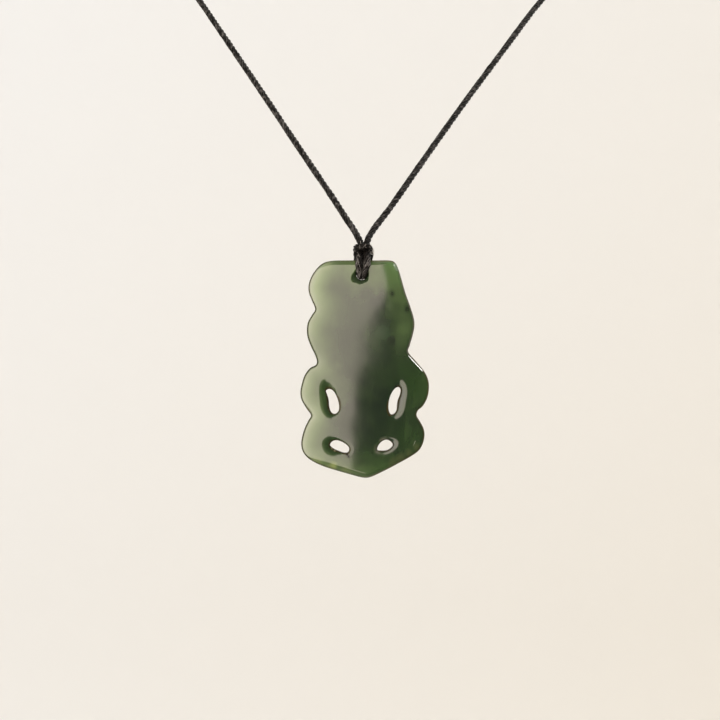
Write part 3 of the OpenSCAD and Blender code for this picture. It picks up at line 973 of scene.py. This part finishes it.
# Looks of the stone
FACE_Y = -152.4
DEEP_GREEN = (0.008, 0.0145, 0.0083)
CLOUDED_GREEN = (0.0125, 0.023, 0.01)
VEIN_GREEN = (0.05, 0.08, 0.03)
LIT_GREEN = (0.113, 0.17, 0.066)  # where light comes through the thin edge
# painted light along the left rim
PAINTED_RIM_LIGHT = (0.27, 0.27, 0.25)
FACET_GREEN = (0.017, 0.034, 0.012)
HOLE_BROWN = (0.03, 0.023, 0.01)
# painted shade: the dark line along the left rim
LEFT_RIM_SHADE = (0.018, 0.019, 0.0035)
# painted shade: the brownish dark line along the right rim
RIGHT_RIM_SHADE = (0.052, 0.036, 0.014)
INCLUSION = (0.008, 0.013, 0.007)
# a scratch's pale line with a painted highlight on it
SCRATCH_GLINT = (0.7, 0.7, 0.6)
NICK_DARK = (0.006, 0.005, 0.004)
# softly lighter clouds in the stone: right, up, radius, colour, strength
CLOUDS = [
    (7.4, 48.0, 6.0, (0.06, 0.11, 0.04), 1.0), (8.0, 42.0, 5.5, (0.042, 0.068, 0.026), 0.77),
    (9.8, 36.0, 5.0, (0.038, 0.062, 0.024), 0.6), (9.0, 32.0, 4.0, (0.034, 0.056, 0.022), 0.62),
    (12.0, 22.0, 6.0, (0.014, 0.031, 0.0095), 0.8), (10.5, 9.0, 6.0, (0.014, 0.029, 0.01), 0.8),
    (4.0, 0.5, 6.5, (0.025, 0.049, 0.016), 0.85), (-1.0, 47.0, 5.5, (0.042, 0.07, 0.024), 0.8),
    (2.8, 46.0, 4.5, (0.04, 0.066, 0.022), 0.8), (-4.0, 50.4, 3.0, (0.019, 0.033, 0.01), 0.95),
    (2.5, 31.0, 4.5, (0.028, 0.046, 0.021), 0.4), (4.9, 33.5, 2.6, (0.028, 0.048, 0.024), 0.6),
    (7.6, 39.2, 1.9, (0.02, 0.034, 0.014), 0.7), (7.4, 35.0, 2.6, (0.02, 0.034, 0.014), 0.85),
    (8.9, 34.3, 1.8, (0.045, 0.075, 0.028), 0.5), (5.9, 39.6, 1.2, (0.04, 0.06, 0.03), 0.4),
    (-7.5, 20.0, 6.0, (0.045, 0.066, 0.03), 0.6), (-9.5, 8.0, 5.0, (0.045, 0.07, 0.032), 0.5),
    (-11.0, 3.3, 2.2, (0.12, 0.115, 0.055), 0.85), (-7.7, 1.7, 2.0, (0.112, 0.108, 0.048), 0.8),
    (-4.3, 1.3, 1.8, (0.08, 0.085, 0.036), 0.7), (-8.6, 49.8, 1.7, (0.14, 0.14, 0.08), 0.8),
    (3.6, 50.2, 1.7, (0.066, 0.08, 0.048), 0.7), (-10.9, 27.2, 0.8, (0.02, 0.034, 0.014), 0.8),
]
# a soft brown band of them along the lower right edge
for band_right, band_up in ((6.8, 3.4), (8.7, 4.5), (10.6, 5.6), (12.2, 7.0)):
    CLOUDS.append((band_right, band_up, 1.5, (0.038, 0.046, 0.019), 0.7))
# small dark inclusions and one pale patch, the same way
INCLUSIONS = [
    (6.6, 42.3, 1.1, INCLUSION, 0.75), (10.0, 38.8, 1.2, INCLUSION, 0.75), (6.4, 31.4, 1.7, INCLUSION, 0.75),
    (6.6, 31.6, 0.9, INCLUSION, 0.75), (-6.8, 2.6, 1.3, (0.2, 0.24, 0.08), 0.5),
]
# tints inside the facets
FACET_TINTS = [
    (-0.4, 45.7, 3.5, (0.026, 0.038, 0.023), 0.8), (2.2, 7.3, 1.5, (0.08, 0.078, 0.06), 0.7),
    (4.4, 9.4, 1.6, (0.13, 0.125, 0.1), 0.8), (3.2, 5.6, 1.3, (0.09, 0.09, 0.07), 0.7),
    (-7.0, 21.1, 1.3, (0.075, 0.095, 0.055), 0.7), (-9.2, 19.6, 2.6, (0.032, 0.06, 0.02), 0.75),
    (9.2, 18.2, 5.5, (0.018, 0.026, 0.024), 0.9), (6.6, 7.4, 3.0, (0.018, 0.026, 0.024), 0.9),
]
# a scratch on the right leg with a painted highlight along it, pale chips at the left leg's hole, a spot
# under the left arm
SCRATCH_GLINT_AND_MARKS = [
    (11.87, 8.43, 0.17, SCRATCH_GLINT, 1.0), (11.77, 8.2, 0.17, SCRATCH_GLINT, 1.0),
    (11.66, 7.95, 0.17, SCRATCH_GLINT, 1.0), (11.55, 7.7, 0.16, (0.6, 0.6, 0.5), 1.0),
    (11.44, 7.45, 0.15, (0.5, 0.5, 0.4), 1.0), (-7.2, 6.9, 0.5, (0.24, 0.205, 0.14), 1.0),
    (-6.6, 6.4, 0.5, (0.19, 0.165, 0.11), 1.0), (-12.9, 15.6, 0.6, (0.06, 0.05, 0.02), 1.0),
]
# unpolished spots, two dark nicks and one at the head's corner: right, up, radius, colour
NICKS = [
    (-3.75, 5.35, 0.42, NICK_DARK), (-3.4, 5.0, 0.38, NICK_DARK), (7.9, 48.9, 1.3, (0.06, 0.11, 0.04)),
]


def speck_at(t, where, right, up, radius):
    """A soft mark about a place on the front face."""
    centre = (right * MM, FACE_Y * MM, (TIP_Z + up) * MM)
    return t.group(SPECK, Vector=where, Centre=centre, Radius=radius * MM)


def patched(t, where, colour, rows, within=1.0):
    """A colour with soft patches of other colours laid over it."""
    for right, up, radius, tint, strength in rows:
        mark = t.times(within, speck_at(t, where, right, up, radius))
        colour = t.mix(t.times(mark, strength), colour, tint)
    return colour


def stone_colour(t, where, marks):
    """The stone's green, from its depth out to its edges with painted light through them, its facets, and
    its rim with painted light and lines of painted shade.
    """
    cloud = t.noise(where, 130.0, 4.0, 0.55, 0.6)
    along_grain = {"Vector": where, "Rotation": (0, math.radians(28), 0), "Scale": (1.0, 1.0, 0.3)}
    vein = t.noise(t.node("ShaderNodeMapping", along_grain).outputs[0], 420.0, 3.0, 0.6, 0.4)
    green = t.mix(t.span(cloud, 0.3, 0.7), DEEP_GREEN, CLOUDED_GREEN)
    green = patched(t, where, green, CLOUDS)
    green = t.mix(t.times(t.span(vein, 0.5, 0.75), 0.14), green, VEIN_GREEN)
    # painted light: the thin edges glow green where light would come through them
    glow = t.times(marks["painted_edge_glow"], t.span(cloud, 0.2, 0.8, 0.9, 1.1))
    green = t.mix(glow, green, LIT_GREEN)
    # painted light along the left rim
    green = t.mix(marks["rim_light"], green, PAINTED_RIM_LIGHT)
    green = patched(t, where, green, INCLUSIONS)
    green = t.mix(t.times(marks["facet"], 0.85), green, FACET_GREEN)
    green = patched(t, where, green, FACET_TINTS, marks["facet"])
    green = t.mix(t.times(marks["hole_wall"], 0.85), green, HOLE_BROWN)
    # painted shade: the dark line along the left rim
    green = t.mix(marks["left_rim_shade"], green, LEFT_RIM_SHADE)
    # painted shade: the brownish dark line along the right rim
    green = t.mix(t.times(marks["right_rim_shade"], 0.85), green, RIGHT_RIM_SHADE)
    return patched(t, where, green, SCRATCH_GLINT_AND_MARKS)


def greenstone():
    """Dark green stone, polished, and duller in its facets, on its side and at its nicks."""
    m, t, shader = material("greenstone")
    where = t.here("Object")
    names = ("painted_edge_glow", "rim_light", "left_rim_shade", "right_rim_shade", "facet", "hole_wall", "side_wall")
    marks = {name: t.stored(name) for name in names}
    green = stone_colour(t, where, marks)
    nick = 0.0
    for right, up, radius, tint in NICKS:
        mark = speck_at(t, where, right, up, radius)
        green = t.mix(mark, green, tint)
        nick = t.math("MAXIMUM", nick, mark)
    matt = t.math("MAXIMUM", marks["hole_wall"], marks["left_rim_shade"])
    polish = t.span(t.noise(where, 260.0, 3.0), 0.3, 0.7, 0.095, 0.105)
    dull = t.times(marks["facet"], 0.1)
    dull = t.math("MULTIPLY_ADD", marks["side_wall"], 0.18, dull)
    dull = t.math("MULTIPLY_ADD", nick, 0.6, dull)
    wave = t.noise(where, 150.0, 2.0)
    fine = t.noise(where, 2600.0, 2.0)
    t.fill(shader, {
        "Base Color": green,
        "IOR": 1.61,
        "Specular IOR Level": t.math("MULTIPLY_ADD", matt, -0.4, 0.5),
        "Roughness": t.math("ADD", polish, dull),
        "Normal": t.bump(t.math("MULTIPLY_ADD", fine, 0.012, wave), 0.5, 0.00002),
    })
    return m


# Looks of the cord
CORD_BLACK = (0.002, 0.0016, 0.0014)
CORD_BROWN = (0.0095, 0.008, 0.0074)
# pale flecks: partly worn fibres, partly painted glints on the plies
FIBRE_FLECK_AND_GLINT = (0.096, 0.09, 0.087)
FRAYED_FIBRE = (0.6, 0.57, 0.54)  # of paleness 2, on the frayed side of the knot
LOOSE_FIBRE = (0.24, 0.225, 0.215)  # of paleness 1


def waxed_cord():
    """Dark twisted cord with pale flecks, partly worn fibres and partly painted glints, and paler loose
    fibres.
    """
    m, t, shader = material("waxed_cord")
    uv = t.here("UV")
    along_ply = t.node("ShaderNodeMapping", {"Vector": uv, "Scale": (0.5, 3.0, 1.0)}).outputs[0]
    fibre = t.noise(along_ply, 1.6, 4.0, 0.6)
    fleck_amount = t.noise(t.here("Object"), 900.0, 3.0)
    # painted light on the knot's legs and painted shade in the knot, as more or fewer pale flecks
    fleck_amount = t.math("MULTIPLY_ADD", t.stored("lit_legs_shaded_knot"), 0.09, fleck_amount)
    fleck = t.times(t.span(fibre, 0.46, 0.6), t.span(fleck_amount, 0.42, 0.58))
    across = t.part(uv, "Y")
    loose = t.math("LESS_THAN", across, -0.5)
    loose_colour = t.mix(t.span(across, -1.9, -1.1), FRAYED_FIBRE, LOOSE_FIBRE)
    colour = t.mix(t.span(fibre, 0.3, 0.7), CORD_BLACK, CORD_BROWN)
    colour = t.mix(fleck, colour, FIBRE_FLECK_AND_GLINT)
    colour = t.mix(loose, colour, loose_colour)
    t.fill(shader, {
        "Base Color": colour,
        "Roughness": t.span(fibre, 0.3, 0.7, 0.5, 0.3),
        "Specular IOR Level": 0.1,
        "Normal": t.bump(fibre, 0.8, 0.00008),
    })
    return m


SPECK = speck_group()
stone.data.materials.append(greenstone())
cord_finish = waxed_cord()
for o in (neck_cord, hitch_cord, nape_tie):
    o.data.materials.append(cord_finish)

# Stage: a round room with an open top, a floor and a rounded corner between floor and wall
ROOM_FLOOR = -600.0
ROOM_CORNER = 250.0
ROOM_FLAT = 1400.0  # radius of the flat floor
ROOM_WALL = (300.0, 900.0)  # heights of the wall's upper rings
ROOM_SIDES = 96
WALL_MIDDLE = -0.144  # height in metres behind the middle of the picture
WALL_LIGHT_COOL = (0.79, 0.806, 0.826)  # painted light: lighter and cooler, upper left of the picture
WALL_DIM_WARM = (0.765, 0.748, 0.708)  # painted shade: darker and warmer, lower right


def pale_wall():
    """A matt wall that turns from cool to warm across the picture, a painted light that is lighter upper
    left and darker lower right.
    """
    m, t, shader = material("pale_wall")
    place = t.here("Object")
    above = t.math("SUBTRACT", t.part(place, "Z"), WALL_MIDDLE)
    down_right = t.math("SUBTRACT", t.part(place, "X"), above)
    wall = t.mix(t.span(down_right, -0.6, 0.6, kind="LINEAR"), WALL_LIGHT_COOL, WALL_DIM_WARM)
    t.fill(shader, {"Base Color": wall, "Roughness": 1.0, "Specular IOR Level": 0.0})
    return m


def pale_room():
    """The floor and the wall as rings about the middle."""
    rings = [(ROOM_FLAT, ROOM_FLOOR)]
    for a in np.linspace(0.15, math.pi / 2, 9):
        up = ROOM_FLOOR + ROOM_CORNER * (1 - math.cos(a))
        rings.append((ROOM_FLAT + ROOM_CORNER * math.sin(a), up))
    rings += [(ROOM_FLAT + ROOM_CORNER, up) for up in ROOM_WALL]
    verts = [(0, 0, ROOM_FLOOR)]
    for r, z in rings:
        for k in range(ROOM_SIDES):
            a = 2 * math.pi * k / ROOM_SIDES
            verts.append((r * math.cos(a), r * math.sin(a), z))
    floor = [(0, 1 + k, 1 + (k + 1) % ROOM_SIDES) for k in range(ROOM_SIDES)]
    return mesh_object("pale_room", verts, floor + bands(1, len(rings), ROOM_SIDES))


room = pale_room()
room.data.materials.append(pale_wall())
room.visible_glossy = False

# Lights, in metres
STONE_PLACE = Vector((0, -0.15, 0))  # on the floor plan


def softbox(name, place, target, size, radiance, colour):
    """An area light of a width and a height, looking from its place at a target."""
    data = bpy.data.lights.new(name, "AREA")
    data.energy = radiance * math.pi * size[0] * size[1]
    data.color = colour
    data.shape = "RECTANGLE"
    data.size = size[0]
    data.size_y = size[1]
    obj = bpy.data.objects.new(name, data)
    obj.location = place
    obj.rotation_euler = (Vector(target) - Vector(place)).to_track_quat("-Z", "Y").to_euler()
    bpy.context.scene.collection.objects.link(obj)


def panel(name, near, far, low, high, radiance, colour):
    """An upright softbox between two points of the floor plan, shining towards the object."""
    a, b = Vector((*near, 0)), Vector((*far, 0))
    middle = (a + b) / 2
    along = (b - a).normalized()
    facing = Vector((-along.y, along.x, 0))
    if facing.dot(STONE_PLACE - middle) < 0:
        facing = -facing
    place = Vector((middle.x, middle.y, (low + high) / 2))
    softbox(name, place, place + facing, ((b - a).length, high - low), radiance, colour)


panel("left_panel", (-0.002, -1.05), (-1.02, -0.62), -0.95, 0.75, 3.7, (1.0, 0.87, 0.74))
softbox("edge_light", (0.69, -0.21, 0.45), (0, -0.15, -0.14), (0.19, 0.19), 34.0, (1, 0.97, 0.93))

# World: pale all round, but the stone mirrors a dark room in front and a bright one behind
WORLD_PALE = (1.0, 0.985, 0.96)
WORLD_BEHIND = (1.0, 0.96, 0.88)
WORLD_DARK = (0, 0, 0)


def studio_world():
    world = bpy.data.worlds.new("studio")
    bpy.context.scene.world = world
    world.use_nodes = True
    t = Tree(world.node_tree)
    ray = t.node("ShaderNodeLightPath").outputs["Is Glossy Ray"]
    behind = t.span(t.part(t.here("Generated"), "Y"), -0.25, 0.5, 0.03, 0.75)
    reflected = t.mix(behind, WORLD_DARK, WORLD_BEHIND)
    t.put(world.node_tree.nodes["Background"].inputs["Color"], t.mix(ray, WORLD_PALE, reflected))


studio_world()
bpy.context.scene.view_settings.view_transform = "Standard"

# Bodies: the new pieces hang from the root, and the imported parts are hidden
for o in (stone, neck_cord, hitch_cord, nape_tie):
    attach(o, "root")
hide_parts("tiki_body")
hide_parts("cord_hitch")
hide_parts("neck_cord")
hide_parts("nape_tie")
